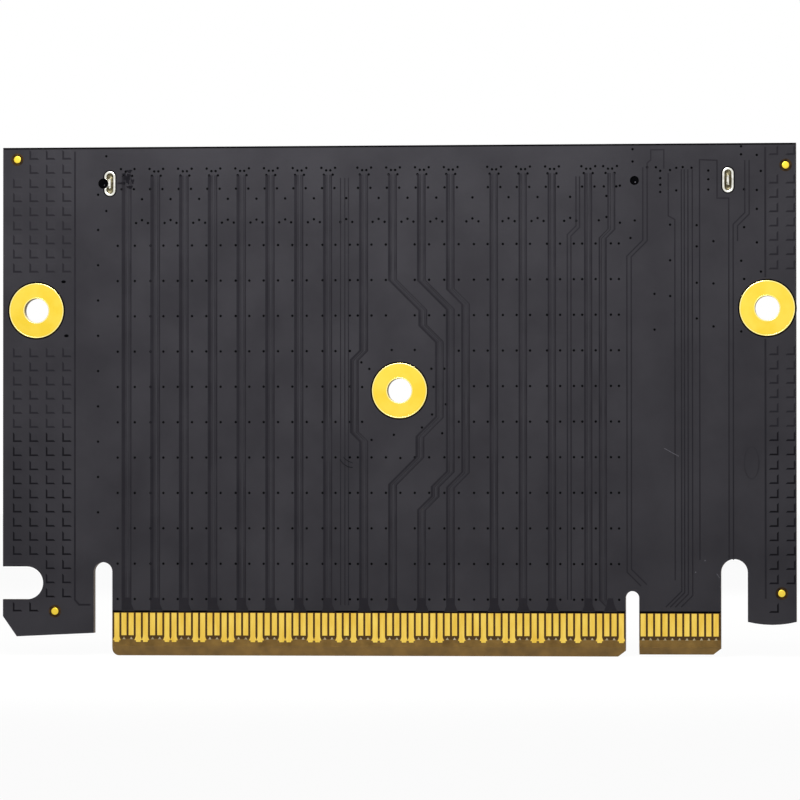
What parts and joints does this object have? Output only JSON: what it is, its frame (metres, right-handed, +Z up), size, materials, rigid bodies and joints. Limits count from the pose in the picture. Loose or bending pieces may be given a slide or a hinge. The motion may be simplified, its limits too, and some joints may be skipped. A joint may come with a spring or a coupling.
{
  "type": "server riser card",
  "caption": "Black riser card with a bevelled double-sided gold edge connector, plated mounting holes and a full-length card slot on its front.",
  "frame": {"origin": "bottom edge of the long tab below the middle of the key notch, half way through the board", "axes": "+X along the edge connector towards the short tab, +Z up from the fingers, -Y out of the bare rear face, +Y out of the slot's side"},
  "size_m": [0.11, 0.0133, 0.0705],
  "materials": {
    "solder_mask": "satin black solder mask",
    "gold_plating": "gold plated copper",
    "moulded_plastic": "matt black glass-filled moulding",
    "contact_alloy": "gold plated spring bronze",
    "tinned_steel": "tinned stamping",
    "tin_plating": "bright tin",
    "solder": "dull solder",
    "ceramic": "fired brown ceramic"
  },
  "bodies": {
    "root": {"riser_board": "solder_mask", "rear_long_tab_fingers": "gold_plating", "rear_short_tab_fingers": "gold_plating", "front_long_tab_fingers": "gold_plating", "front_short_tab_fingers": "gold_plating", "left_hole_plating": "gold_plating", "right_hole_plating": "gold_plating", "centre_hole_plating": "gold_plating", "rear_alignment_dots": "gold_plating", "front_alignment_dots": "gold_plating", "rear_signal_traces": "solder_mask", "slot_housing": "moulded_plastic", "upper_slot_contacts": "contact_alloy", "lower_slot_contacts": "contact_alloy", "left_board_lock": "tinned_steel", "right_board_lock": "tinned_steel", "left_lock_plating": "tin_plating", "right_lock_plating": "tin_plating", "left_lock_solder": "solder", "right_lock_solder": "solder", "capacitor_bodies": "ceramic", "capacitor_terminals": "tin_plating"}
  },
  "joints": []
}
